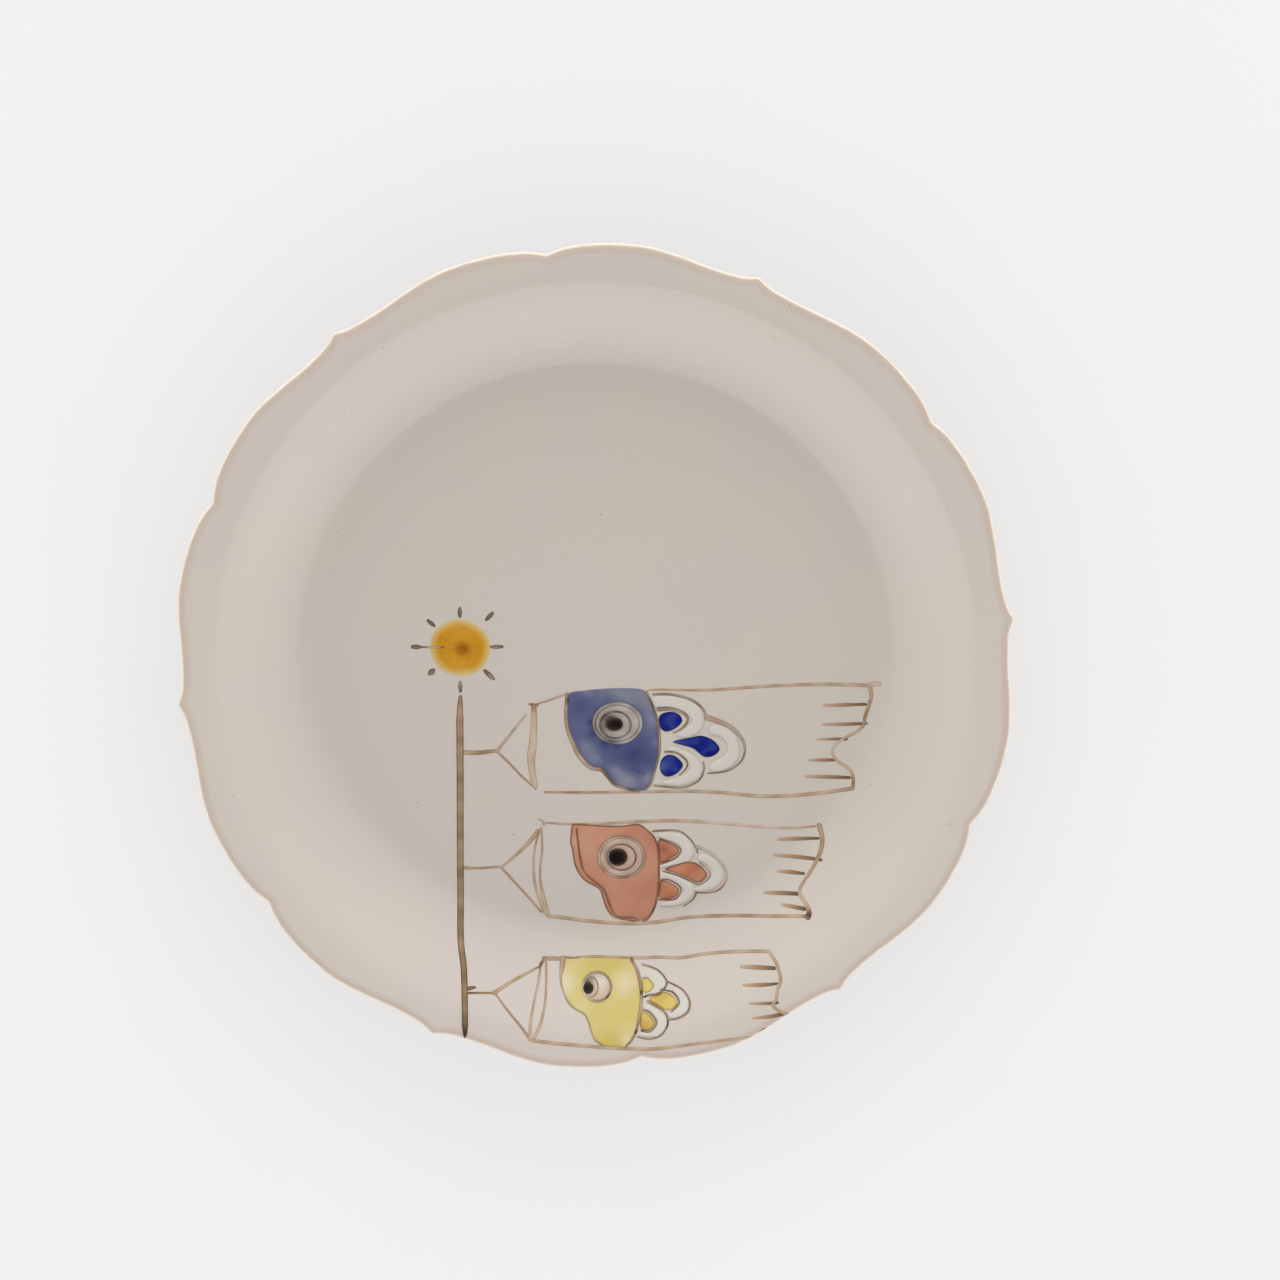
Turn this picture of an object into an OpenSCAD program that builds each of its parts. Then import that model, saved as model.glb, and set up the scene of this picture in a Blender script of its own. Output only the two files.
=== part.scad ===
// A round porcelain plate with a six-lobed rim, painted with a pole, a sun and three carp
// streamers. It lies on its foot ring at z = 0 and the painting faces +Z. The pole's foot
// points to -Y and the carp swim out from the pole to +X. All lengths are in millimetres.

/* [Plate] */
// Diameter over the widest part of the lobes
plate_d = 212; // [208:1:220]
// Height from the table to the rim
plate_h = 26; // [22:0.5:30]
// Height of the middle of the painted face
centre_z = 9; // [8:0.25:10]
// How much higher the flat middle is at its edge than at its centre
dish_rise = 0.9; // [0.3:0.1:1.5]
// Radius where the flat middle turns up into the side
well_r = 71; // [68:0.5:74]
// Radius where the side turns out into the rim
side_r = 99; // [97:0.5:101]
// Rise of the rim for each millimetre outwards
rim_slope = 0.15; // [0.05:0.01:0.25]
// Porcelain thickness in the flat middle
middle_wall = 4.2; // [3.8:0.1:4.6]
// Porcelain thickness at the lip
lip_wall = 2.8; // [2.4:0.1:3.2]

/* [Lobed rim] */
// Number of lobes, each with a notch on one side and a point on the other
lobes = 6; // [6:1:6]
// Angle of the first point, from +X towards +Y
first_point = 6.5; // [0:0.5:20]
// Depth of each notch
notch_depth = 2.4; // [1:0.1:3]
// Depth of the hollow on each side of a point
hollow_depth = 2.3; // [1:0.1:3]
// Height of each small point above its hollow
point_height = 2; // [0.5:0.1:2.5]
// How far the lobed outline is off the centre, towards +Y
rim_off_centre = 0.7; // [0:0.1:1]

/* [Foot ring] */
// Outer radius of the foot ring where it meets the plate
foot_r = 64; // [60:0.5:66]
// Width of the foot ring where it meets the plate
foot_wall = 5.5; // [5:0.5:6.5]
// Width of the flat unglazed face that the plate rests on
foot_face = 2.8; // [2:0.1:3.2]
// Depth of the hollow inside the foot ring
foot_depth = 4.8; // [4.4:0.1:5]

/* [Enamel] */
// Thickness of the brushed lines
line_t = 0.12; // [0.1:0.01:0.2]
// Thickness of the colour washes
wash_t = 0.22; // [0.15:0.01:0.3]
// Thickness of the raised white borders
relief_t = 0.45; // [0.3:0.05:0.6]

/* [Painting] */
// Where the first carp's bridle leaves the pole, from the plate's centre along X
pole_x = -34; // [-36:0.5:-32]
// Where the first carp's bridle leaves the pole, from the plate's centre along Y
first_carp_y = -26; // [-27:0.5:-25]
// Distance from each carp's bridle down to the next one
carp_gap = 30; // [29:0.5:30.5]
// Radius of the sun
sun_r = 7.6; // [7:0.1:8]
// Radius of the dark middle of the sun
sun_core_r = 1.8; // [1.2:0.1:2.4]
// Distance of the sun's centre above the plate's centre
sun_y = 1.2; // [0:0.2:2]

/* [Hidden] */

BLUE = 0;
RED = 1;
YELLOW = 2;
head_colours = [[0.19, 0.22, 0.42], [0.72, 0.46, 0.34], [0.83, 0.75, 0.45]];
scale_colours = [[0.10, 0.18, 0.55], [0.68, 0.42, 0.31], [0.80, 0.70, 0.38]];
porcelain = [0.80, 0.77, 0.73];
brush_brown = [0.60, 0.49, 0.38];
brush_grey = [0.50, 0.47, 0.42];
white_enamel = [0.93, 0.92, 0.90];
eye_grey = [0.62, 0.60, 0.57];

// Lengths used by more than one piece
lip_round = 0.4;
above_all = plate_h + 4;
rim_angle_step = 1;
steps = 4;

// ---- The painted face: its height at a distance r from the centre ----
well_edge_z = centre_z + dish_rise;
well_slope = 2 * dish_rise / well_r;
side_top_z = plate_h - rim_slope * (plate_d / 2 - side_r);
// A curve that leaves z0 at slope m0 and arrives at z1 at slope m1, over a run of length
function ease(t, run, z0, z1, m0, m1) =
    (2 * t * t * t - 3 * t * t + 1) * z0 + (t * t * t - 2 * t * t + t) * run * m0
    + (3 * t * t - 2 * t * t * t) * z1 + (t * t * t - t * t) * run * m1;
function side_z(r) =
    let (run = side_r - well_r)
    ease((r - well_r) / run, run, well_edge_z, side_top_z, well_slope, rim_slope);
function face_z(r) =
    r < well_r ? centre_z + dish_rise * pow(r / well_r, 2)
    : r < side_r ? side_z(r)
    : side_top_z + rim_slope * (r - side_r);
function wall(r) = middle_wall + (lip_wall - middle_wall) * pow(r / (plate_d / 2), 2);

// Radii where the face bends: a few over the flat middle, close together up the side
side_steps = 10;
face_radii = concat(
    [0, 25, 40, 52, 62],
    [for (i = [0:side_steps]) well_r + (side_r - well_r) * i / side_steps],
    [plate_d / 2 + 2]
);

// ---- The lobed rim ----
lobe_span = 180 / lobes;
// How far each point strays from its even place, in degrees
point_drift = [0, 1, 1, -1, 0, 0];
function from_notch(a) =
    let (round_from = (a - first_point + lobe_span + 720) % 360,
         t = round_from % (2 * lobe_span) - lobe_span,
         drift = point_drift[floor(round_from / (2 * lobe_span))])
    lobe_span - abs(t - drift * (1 - abs(t) / lobe_span));
function soft_step(t) = let (u = max(0, min(1, t))) u * u * (3 - 2 * u);
function rim_r(a) =
    let (u = from_notch(a))
    plate_d / 2 - notch_depth * exp(-u / 3) - hollow_depth * soft_step((u - 12) / 13)
    + point_height * exp((u - lobe_span) / 1.4) + rim_off_centre * sin(a);
function rim_outline(inset) =
    [for (a = [0:rim_angle_step:360 - rim_angle_step])
        let (b = a + first_point) (rim_r(b) - inset) * [cos(b), sin(b)]];

// ---- Brushwork: curves through a few points, as closed shapes and as strokes ----
function through(p0, p1, p2, p3, t) =
    (2 * p1 + (p2 - p0) * t + (2 * p0 - 5 * p1 + 4 * p2 - p3) * t * t
    + (3 * p1 - p0 - 3 * p2 + p3) * t * t * t) / 2;
function curve(p, n = steps) =
    let (last = len(p) - 1)
    concat([for (i = [0:last - 1], k = [0:n - 1])
        through(p[max(i - 1, 0)], p[i], p[i + 1], p[min(i + 2, last)], k / n)], [p[last]]);
function loop(p, n = steps) =
    let (m = len(p))
    [for (i = [0:m - 1], k = [0:n - 1])
        through(p[(i + m - 1) % m], p[i], p[(i + 1) % m], p[(i + 2) % m], k / n)];
// A closed curve moved outwards by a distance, whichever way round it runs
function grown(p, by) =
    let (n = len(p), ones = [for (q = p) 1])
    let (turn = sign(ones * [for (i = [0:n - 1]) cross(p[i], p[(i + 1) % n])]))
    [for (i = [0:n - 1])
        let (along = p[(i + 1) % n] - p[(i + n - 1) % n])
        p[i] + by * turn * [along.y, -along.x] / norm(along)];
function backwards(p) = [for (i = [len(p) - 1:-1:0]) p[i]];
function without_first(p) = [for (i = [1:len(p) - 1]) p[i]];
function oval(c, rx, ry, n = 40) =
    [for (i = [0:n - 1]) c + [rx * cos(i * 360 / n), ry * sin(i * 360 / n)]];

// Half the brush's width at a share t of the way along: w holds start, middle and end widths
function half_width(w, t) =
    (t < 0.5 ? w[0] + (w[1] - w[0]) * 2 * t : w[1] + (w[2] - w[1]) * (2 * t - 1)) / 2;
function direction(c, i) =
    let (d = c[min(i + 1, len(c) - 1)] - c[max(i - 1, 0)])
    d / norm(d);
function beside(c, w, side) =
    [for (i = [0:len(c) - 1])
        let (d = direction(c, i), h = side * half_width(w, i / (len(c) - 1)))
        c[i] + h * [-d.y, d.x]];
cap_angles = [30, 60, 90, 120, 150];
function cap(c, d, h) = [for (a = cap_angles) c + h * (cos(a) * [d.y, -d.x] + sin(a) * d)];
function brushed(c, w) =
    let (last = len(c) - 1)
    concat(
        beside(c, w, -1), cap(c[last], direction(c, last), w[2] / 2),
        backwards(beside(c, w, 1)), cap(c[0], -direction(c, 0), w[0] / 2)
    );

module stroke(points, w) {
    polygon(brushed(curve(points), w));
}

module strokes(list) {
    for (s = list) stroke(s[0], s[1]);
}

module ring(c, rx, ry, w) {
    difference() {
        polygon(oval(c, rx + w / 2, ry + w / 2));
        polygon(oval(c, rx - w / 2, ry - w / 2));
    }
}

// A flat shape laid onto the painted face as a coat of thickness t
module coat(t) {
    outer = [for (r = face_radii) [r, face_z(r) + t]];
    inner = [for (r = face_radii) [r, face_z(r)]];
    intersection() {
        linear_extrude(height = above_all) children();
        rotate_extrude($fn = 180) polygon(concat(inner, backwards(outer)));
    }
}

module on_carp(k) {
    translate([pole_x, first_carp_y - k * carp_gap]) children();
}

// Keeps brushwork off the rounded lip
module inside_lip() {
    intersection() {
        children();
        polygon(rim_outline(lip_round));
    }
}

// ---- The carp: three of each, measured from where the bridle leaves the pole ----
// The head is bounded by its left edge, its top and its right edge, each drawn downwards
// or to the right
head_left = [
    [[26.8, 15.1], [26.4, 10], [26.9, 5.5], [28.3, 2], [29.7, -1], [32.5, -4], [35.5, -4.75],
        [37, -6.5], [39.5, -9], [45, -10.25]],
    [[28, 11], [27.5, 7], [28, 4.5], [28.5, 1], [29.5, -1.5], [31, -3.5], [33, -4.75], [35, -6],
        [36, -9], [37, -11.5], [39, -13.5], [44.5, -14.5]],
    [[25, 7], [25, 1.5], [26.5, -2.5], [28.5, -4.5], [31, -5.75], [32.25, -8], [33.5, -11.5],
        [36, -13.25]]
];
head_top = [
    [[26.8, 15.1], [30, 15.8], [36.4, 16.5], [42, 16.6], [45.2, 16.4], [46.8, 15.8]],
    [[28, 11], [32.5, 10.75], [40, 10.5], [44.5, 11], [46.5, 10]],
    [[25, 7], [32.5, 6.75], [43, 6.5]]
];
head_right = [
    [[46.8, 15.8], [48.5, 12], [49.75, 8], [50.25, 3], [50, -1], [49, -5], [48, -8.5],
        [46.5, -10]],
    [[46.5, 10], [49, 7.5], [50, 3], [50, -5], [49.25, -10], [47.5, -13.5], [46, -14.25]],
    [[43, 6.5], [44.5, 4], [45.5, 0], [45.5, -3.5], [44.5, -9], [43, -12], [41.5, -13.5]]
];
// Brushed edges of the head: a curve and its widths at the start, middle and end
head_lines = [
    [[head_left[BLUE], [0.9, 1.2, 0.6]], [head_right[BLUE], [0.6, 0.7, 0.5]]],
    [[[[29, 10], [29.5, 5.5], [30, 2], [31, -1.5], [33.5, -4], [36, -6.25], [37.25, -9.5],
            [38.5, -12.5], [40, -13.5], [43, -13.5], [45, -14.25]], [0.4, 0.6, 0.5]],
        [head_left[RED], [0.3, 0.4, 0.3]], [head_top[RED], [0.3, 0.4, 0.5]],
        [head_right[RED], [0.4, 0.5, 0.6]]],
    [[head_left[YELLOW], [0.6, 0.4, 0.4]], [head_right[YELLOW], [0.8, 0.8, 0.4]],
        [[[25.5, 6.5], [25.4, 5], [25.2, 3.3]], [1.3, 1.1, 0.5]],
        [[[25.2, 6.9], [27.5, 6.8], [29.8, 6.7]], [0.8, 0.5, 0.3]]]
];

// The eye: centres and radii of the outer ring, the inner ring and the pupil
eye_ring = [[[39.5, 7.5], 6, 5.1], [[40.5, 2.4], 5.8, 5.3], [[34.25, 0.25], 3.6, 3.2]];
eye_ring_w = [1.0, 0.7, 0.5];
iris_ring = [[[39, 7], 3.9, 3.5], [[40.5, 2.4], 3.7, 3.4], [[32.6, 0.2], 1.9, 2.2]];
iris_ring_w = [0.5, 0.35, 0.3];
pupil_spot = [[[38.75, 7.2], 2.2, 1.8], [[39.6, 2.45], 2.5, 2.3], [[32, 0], 1.4, 1.3]];

// The three scales behind the head: the coloured middle, the white border and the outline
scale_middles = [
    [[[50.25, 9.5], [53, 10.5], [55.25, 9.75], [56, 8], [54.5, 6.25], [52, 5.25], [50.25, 6.5]],
        [[53.5, 2.6], [58, 3.75], [61, 4.25], [64, 3], [65.6, 0.75], [64, -1], [61.5, -1.25],
            [58.5, 1]],
        [[50.6, -2.25], [52.25, -0.75], [54.5, -1.25], [56.25, -3.5], [54.5, -5.75],
            [52, -6.5], [50.4, -5]]],
    [[[49.9, 7], [53, 6.1], [55.4, 4.25], [53.5, 2.25], [50.2, 1]],
        [[51.5, -0.75], [55.5, 0.75], [58.5, 1.25], [61, 0], [62.5, -2.25], [60.5, -4.25],
            [57.5, -3.1], [54.5, -1.75]],
        [[49.9, -4], [52.5, -4], [55.25, -6], [54, -8.25], [50.2, -8.25]]],
    [[[45.6, 1.75], [47, 2.5], [48.75, 0.75], [47.25, -0.75], [45.7, -0.5]],
        [[47.5, -2.25], [50.5, -0.5], [53.25, -1], [54.75, -2.9], [53, -4.5], [50, -4.1]],
        [[45.6, -5], [47.25, -5.5], [49, -7.5], [47.5, -9.25], [45.4, -8.9]]]
];
scale_whites = [
    [[[48.75, 14.25], [53, 14.5], [56.75, 13.9], [60, 11.75], [61.5, 8.25], [60, 5.25],
            [56.75, 3.75], [54.75, 4.75], [57, 6.25], [58.6, 8.25], [56.5, 10.5],
            [53, 11.75], [49, 12]],
        [[63, 6], [64.5, 7.1], [68.25, 5.5], [70.5, 1.75], [70.1, -1.75], [67.5, -4.25],
            [63.5, -5], [63.5, -3], [66.5, -1.25], [67.75, 1.5], [66, 4], [63.25, 4.75]],
        [[52, 0.75], [54.25, 1.25], [59, -1], [61, -4.25], [59.75, -7], [55.5, -8.75],
            [50.75, -8], [53, -7.25], [57, -5.75], [58.1, -3.75], [55.75, -1]]],
    [[[50.1, 8.75], [54.5, 8.75], [57.5, 7.25], [59, 4], [57.5, 1.25], [54, 0.5],
            [50.25, -0.25], [53.5, 1.75], [56, 4.25], [54, 6.4], [50.5, 7.5]],
        [[60, 2], [61.25, 3.25], [64.5, 1.75], [66.6, -2], [65.25, -5], [62, -6.4],
            [59.25, -6], [62, -4.25], [63.6, -2], [62.5, 0.5]],
        [[50, -1.75], [52, -1.25], [56, -2.5], [59.1, -5.25], [58, -8.5], [54.5, -10.25],
            [50, -10.1], [54, -8.75], [56.5, -6.25], [54, -4.25], [51, -3.4]]],
    [[[45.5, 4.8], [48.5, 4.3], [50.9, 2.75], [51.4, 0.75], [49.4, -0.75], [46.5, -1.2],
            [48.2, -0.6], [48.8, 0.75], [47.2, 2.5], [45.3, 3]],
        [[54, 0.5], [56.5, -1], [57.4, -3.25], [56.25, -5.5], [53.5, -6.1], [52.75, -5.25],
            [54.75, -4.25], [55.5, -2.5], [54.25, -0.75]],
        [[46, -3.5], [49, -4.5], [51.5, -6.25], [51.75, -8.25], [49.5, -10.5],
            [45.5, -10.25], [48, -9.75], [49.75, -7.5], [48, -5.5]]]
];
// How far each carp's white spreads beyond the shapes above, up to the lines beside it
white_spread = [0.1, 0.1, 0.4];
scale_lines = [
    [[[[48.5, 15], [53, 15], [58, 13.75], [61, 11.5], [62.25, 9]], [0.6, 0.7, 0.6]],
        [[[62.25, 9], [67.75, 6.9], [71, 3.75], [72, 0.5], [70.75, -2.75], [67.25, -5],
            [62.5, -5.6]], [1.5, 0.6, 0.4]],
        [[[61.4, -2.5], [61.6, -4.5], [60.5, -7.25], [57.5, -9], [54.75, -9.4],
            [48.75, -8.75]], [0.4, 0.5, 0.6]],
        [[[50, 11.1], [53, 11.2], [56.5, 10], [57.4, 8.2], [56, 6.2], [53.75, 5]],
            [1.2, 0.7, 0.5]],
        [[[51.5, 0], [54.5, -0.25], [57, -2.2], [57.2, -4], [55.25, -6.1]], [0.5, 0.5, 0.4]]],
    [[[[48.5, 9.25], [52.5, 9.5], [55.5, 9.2], [58, 7.25], [59.6, 4.9], [60, 3.5]],
            [0.6, 0.4, 0.5]],
        [[[59.75, 5.25], [63, 3.75], [66.25, 0.75], [67.5, -2.75], [65.75, -5.9],
            [62.5, -6.9], [59.25, -6.75]], [1.0, 0.6, 0.3]],
        [[[59.75, -7], [58.5, -9], [56.25, -10.5]], [0.5, 0.4, 0.3]],
        [[[50, 7.4], [53, 6.4], [55.75, 4.4], [54, 2], [50.2, 0.6]], [0.3, 0.4, 0.5]],
        [[[51, -1.25], [54.5, -2.2], [57.5, -3.5], [60.5, -4.7], [63, -2.75], [62.5, -0.75],
            [60.25, 1.2]], [0.3, 0.5, 0.3]],
        [[[50.3, -3.6], [52.75, -3.6], [55.7, -5.75], [54.25, -8.6], [50, -8.7]],
            [0.4, 0.4, 0.5]]],
    [[[[45.75, 5.4], [49.5, 4.4], [51.75, 2.5], [52, 0.9], [50, -1], [47.5, -1.4],
            [45.75, -2]], [0.5, 0.4, 0.5]],
        [[[52.25, 1.75], [56, 0.25], [57.9, -2.25], [57.5, -4.75], [55, -6.4],
            [52.5, -6.75]], [0.4, 0.6, 0.4]],
        [[[47.25, -2.75], [51.25, -4.75], [52.25, -6.5], [52.2, -8.25], [50.5, -10.6],
            [47.5, -11.5], [44.5, -10.9]], [0.7, 0.4, 0.4]],
        [[[50.5, -0.1], [53.5, -0.5], [55.2, -2.75], [53.25, -4.9]], [0.3, 0.5, 0.4]],
        [[[45.8, -4.6], [47.75, -5.25], [49.4, -7.5], [47.75, -9.6], [45.5, -9.4]],
            [0.4, 0.6, 0.5]]]
];

bridle_lines = [
    [[[[0, 0], [4, -0.2], [9, 0.4]], [1.3, 1.1, 0.9]],
        [[[9.25, 0.75], [11, 3], [13.5, 6.25], [16.25, 9.75]], [0.9, 0.7, 0.6]],
        [[[8.75, 0.25], [12, -3], [15, -6.25], [18.75, -9.75]], [0.7, 0.6, 0.5]]],
    [[[[0, -0.25], [4, -0.4], [10, 0]], [0.9, 0.6, 0.6]],
        [[[10, 0], [13.5, 3], [17, 6.5], [19.25, 9.25]], [0.5, 0.9, 1.3]],
        [[[10, -0.5], [14, -5], [17.25, -8.75], [20, -12]], [0.7, 0.6, 0.6]]],
    [[[[1, -0.1], [4, -0.2], [8, -0.4]], [0.6, 0.5, 0.5]],
        [[[1, 0.9], [3.25, 1.1]], [1.3, 0.9, 0.5]],
        [[[8, -0.4], [12.5, 1.9], [17.5, 4.1], [19.5, 5]], [1.0, 0.7, 0.4]],
        [[[8.5, -0.75], [11.5, -4.5], [15, -8.5], [17.25, -11.5]], [0.5, 0.6, 0.8]]]
];
hoop_lines = [
    [[[[18.25, 12], [18.25, 7.5], [18, 2.5], [17.5, -1.5], [17.75, -5], [18.5, -9]],
        [1.3, 2.2, 1.4]]],
    [[[[19.75, 9.75], [18.5, 5.5], [18, 1], [18.25, -4], [19.25, -8], [20.75, -12]],
            [0.4, 0.7, 0.8]],
        [[[20, 10.25], [20.25, 5], [19.75, 0], [19.75, -4], [20.5, -8], [21.5, -12.5]],
            [0.6, 0.6, 1.2]],
        [[[19.25, 12.25], [20.25, 12.1], [20.75, 10.75]], [0.5, 0.5, 0.4]]],
    [[[[19.75, 5.25], [19.25, 1.5], [18.25, -2.5], [17.5, -6.5], [17.1, -11.5]],
            [0.7, 0.6, 0.8]],
        [[[19.7, 5.1], [20.2, 5.9], [20.8, 6.6]], [0.8, 0.9, 0.5]],
        [[[21.25, 6.5], [21.25, 1], [21, -3], [20, -7.5], [18.25, -11.25]], [0.6, 0.6, 0.9]]]
];
body_lines = [
    [[[[17, 12.5], [19.25, 12.1]], [0.5, 0.9, 0.6]],
        [[[19, 12.5], [22, 13.4], [26, 14.9], [30, 15.7], [33.5, 16.1]], [0.4, 0.6, 0.3]],
        [[[47, 16], [50, 16.25], [57, 16.1], [64.5, 16.25], [78.5, 17.25], [92, 17.75],
            [103.5, 17.5]], [0.4, 0.7, 1.0]],
        [[[103.8, 17.7], [105, 18], [106.1, 17.8]], [1.2, 1.5, 1.0]],
        [[[21, -10.5], [32.5, -10.6], [48, -10.4], [60, -10.3], [68, -10.75], [76, -11.5],
            [84, -11.3], [92, -10.5], [99.5, -9.25]], [0.6, 0.9, 1.0]],
        [[[103.5, 17.5], [104, 15], [103.5, 12.5], [102.5, 9.5], [102, 7], [100, 5.25],
            [96.5, 3.25], [94.25, 1], [95, -1.75], [98, -3.75], [99.5, -6], [99.5, -9.25]],
            [1.1, 0.7, 0.9]]],
    [[[[21, 11.5], [27.5, 11.1], [36, 11.25], [45, 11.75], [55.5, 12], [66, 11.4],
            [76, 10.5], [84, 10.25], [90, 10.75]], [0.5, 0.9, 0.5]],
        [[[21.5, -12.9], [26, -13.5], [32, -14.3], [42, -15], [50, -14.5], [58, -13.2],
            [70, -12.4], [80, -11.8], [88, -11]], [1.0, 0.9, 0.8]],
        [[[91, 11], [91.75, 8], [91.5, 5], [90.25, 2], [88.5, -1], [86.25, -4.5],
            [86.25, -6.5], [87.75, -8.5], [88.4, -10], [88, -11.25]], [1.4, 0.7, 1.4]]],
    [[[[20.5, 6.75], [27, 6.6], [34, 6.9], [43, 6.75], [50.5, 7.1], [56, 7.2], [62, 8.4],
            [70, 9.4], [78, 10.1]], [1.0, 0.7, 0.8]],
        [[[17.5, -11.75], [24, -12.6], [32, -13.3], [40, -13.8], [48, -14], [54, -13.3],
            [62, -12.2], [70, -11.1], [75, -10.75]], [0.9, 0.9, 0.6]],
        [[[78, 10.1], [79.75, 8], [80.75, 5.5], [81, 3.5], [80.25, 1.5], [79.9, -1],
            [79, -2.4], [80.25, -3.6], [82, -4.5], [84, -5.1]], [0.9, 0.8, 0.9]]]
];
slit_lines = [
    [[[[92, 12.25], [97, 12.4], [102.75, 12.6]], [0.8, 1.0, 0.7]],
        [[[91.5, 7.3], [97.5, 7.4], [102.9, 7.6]], [0.6, 1.0, 0.7]],
        [[[90.3, 3.4], [94.5, 3.5], [97.8, 3.5]], [0.5, 0.8, 0.8]],
        [[[88.3, -2], [92, -2], [95.4, -1.9]], [0.6, 0.9, 0.7]],
        [[[87.5, -6.25], [93, -6.4], [98.75, -6.5]], [0.8, 1.0, 0.8]]],
    [[[[80.5, 7.25], [85, 7.4], [92, 7.75]], [0.8, 1.1, 0.5]],
        [[[79.5, 3.1], [85, 2.8], [91.5, 2.5]], [0.7, 1.1, 0.8]],
        [[[80.5, -1], [84, -1.1], [87.25, -1.2]], [0.8, 1.1, 0.6]],
        [[[77, -6.5], [81, -6.3], [86, -6.1]], [0.7, 1.1, 0.9]],
        [[[81.5, -9], [84, -9.2], [87.25, -9.4]], [0.7, 1.0, 1.0]]],
    [[[[71, 6.1], [75, 6.25], [79.5, 6.4]], [0.7, 1.1, 0.9]],
        [[[71.5, 2], [76, 2.3], [80.5, 2.9]], [0.6, 1.0, 0.5]],
        [[[73, -2.2], [77, -2.1], [80.25, -1.8]], [0.5, 0.8, 0.8]],
        [[[74, -5.8], [78, -5.4], [82, -4.6]], [0.6, 1.0, 1.0]],
        [[[75.5, -9.3], [78, -8.3]], [0.4, 0.7, 0.5]]]
];

module head_shape(k) {
    left = curve(head_left[k]);
    top = curve(head_top[k]);
    right = curve(head_right[k]);
    polygon(concat(top, without_first(right), backwards(without_first(left))));
}

module eye_shape(k) {
    e = eye_ring[k];
    polygon(oval(e[0], e[1] + eye_ring_w[k] / 2, e[2] + eye_ring_w[k] / 2));
}

module pupil_shape(k) {
    e = pupil_spot[k];
    polygon(oval(e[0], e[1], e[2], 24));
}

module iris_ring_shape(k) {
    e = iris_ring[k];
    ring(e[0], e[1], e[2], iris_ring_w[k]);
}

module head_line_shape(k) {
    strokes(head_lines[k]);
}

// The edge of the head, with everything that lies over it
module head_and_edge(k) {
    head_shape(k);
    head_line_shape(k);
}

module scale_line_shape(k) {
    difference() {
        strokes(scale_lines[k]);
        head_and_edge(k);
    }
}

module scale_middle_shape(k) {
    for (s = scale_middles[k]) polygon(loop(s));
}

module bridle(k) {
    color(brush_brown) coat(line_t) difference() {
        on_carp(k) strokes(bridle_lines[k]);
        pole_shape();
        on_carp(k) strokes(hoop_lines[k]);
    }
}

module mouth_hoop(k) {
    color(brush_brown) coat(line_t) on_carp(k) strokes(hoop_lines[k]);
}

module body_outline(k) {
    color(brush_brown) coat(line_t) inside_lip() on_carp(k) difference() {
        strokes(body_lines[k]);
        head_and_edge(k);
        strokes(hoop_lines[k]);
        strokes(scale_lines[k]);
    }
}

module tail_slits(k) {
    color(brush_brown) coat(line_t) inside_lip() on_carp(k) difference() {
        strokes(slit_lines[k]);
        strokes(body_lines[k]);
    }
}

module head(k) {
    color(head_colours[k]) coat(wash_t) on_carp(k) difference() {
        head_shape(k);
        head_line_shape(k);
        eye_shape(k);
    }
}

module head_outline(k) {
    color(brush_grey) coat(line_t) on_carp(k) head_line_shape(k);
}

module eye_rings(k) {
    e = eye_ring[k];
    color(brush_grey) coat(line_t) on_carp(k) {
        ring(e[0], e[1], e[2], eye_ring_w[k]);
        difference() {
            iris_ring_shape(k);
            pupil_shape(k);
        }
    }
}

module eye_white(k) {
    e = eye_ring[k];
    color(eye_grey) coat(wash_t) on_carp(k) difference() {
        polygon(oval(e[0], e[1] - eye_ring_w[k] / 2, e[2] - eye_ring_w[k] / 2));
        iris_ring_shape(k);
        pupil_shape(k);
    }
}

module pupil(k) {
    color([0.14, 0.12, 0.10]) coat(wash_t) on_carp(k) pupil_shape(k);
}

module scales(k) {
    color(scale_colours[k]) coat(wash_t) on_carp(k) difference() {
        scale_middle_shape(k);
        scale_line_shape(k);
        head_and_edge(k);
    }
}

module scale_borders(k) {
    color(white_enamel) coat(relief_t) on_carp(k) difference() {
        for (s = scale_whites[k]) polygon(grown(loop(s), white_spread[k]));
        strokes(scale_lines[k]);
        scale_middle_shape(k);
        head_and_edge(k);
    }
}

module scale_outlines(k) {
    color(brush_grey) coat(line_t) on_carp(k) scale_line_shape(k);
}

// ---- The sun and the pole ----
sun_at = [pole_x - 0.4, sun_y];
sun_core_at = [0.6, -0.3];
// Each ray: how far its middle is from the sun's centre, its angle, length and width. The last
// is the thin stem of the ray to the left, which runs on into the disc.
sun_ray_list = [
    [9.1, 90, 2.8, 1.1], [11, 47, 3, 1.2], [9.3, 1, 3.4, 1.1], [10.2, -44, 3.8, 1.3],
    [10.2, -90, 3.1, 1.1], [9.6, -139, 2.1, 1.7], [11.2, 179, 2.6, 1.3], [9.7, 139, 2.8, 1.1],
    [7, 179, 6.2, 0.6]
];
pole_top = [[-34.4, -11.5], [-34.5, -14], [-34.6, -17.5]];
pole_line = [
    [-34.6, -17.5], [-34.6, -30], [-34.7, -49], [-34.7, -64], [-34.6, -74],
    [-33.7, -80.5], [-33.4, -87.5], [-33.3, -94]
];
pole_tip = [[-33.3, -94], [-33.3, -96], [-33.4, -97.1]];

module pole_shape() {
    stroke(pole_top, [0.8, 1.4, 1.85]);
    stroke(pole_line, [1.85, 1.65, 1.55]);
    stroke(pole_tip, [1.55, 1.1, 0.4]);
}

module pole() {
    color(brush_brown) coat(wash_t) pole_shape();
}

module sun_core_shape() {
    translate(sun_core_at) circle(r = sun_core_r, $fn = 32);
}

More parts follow.
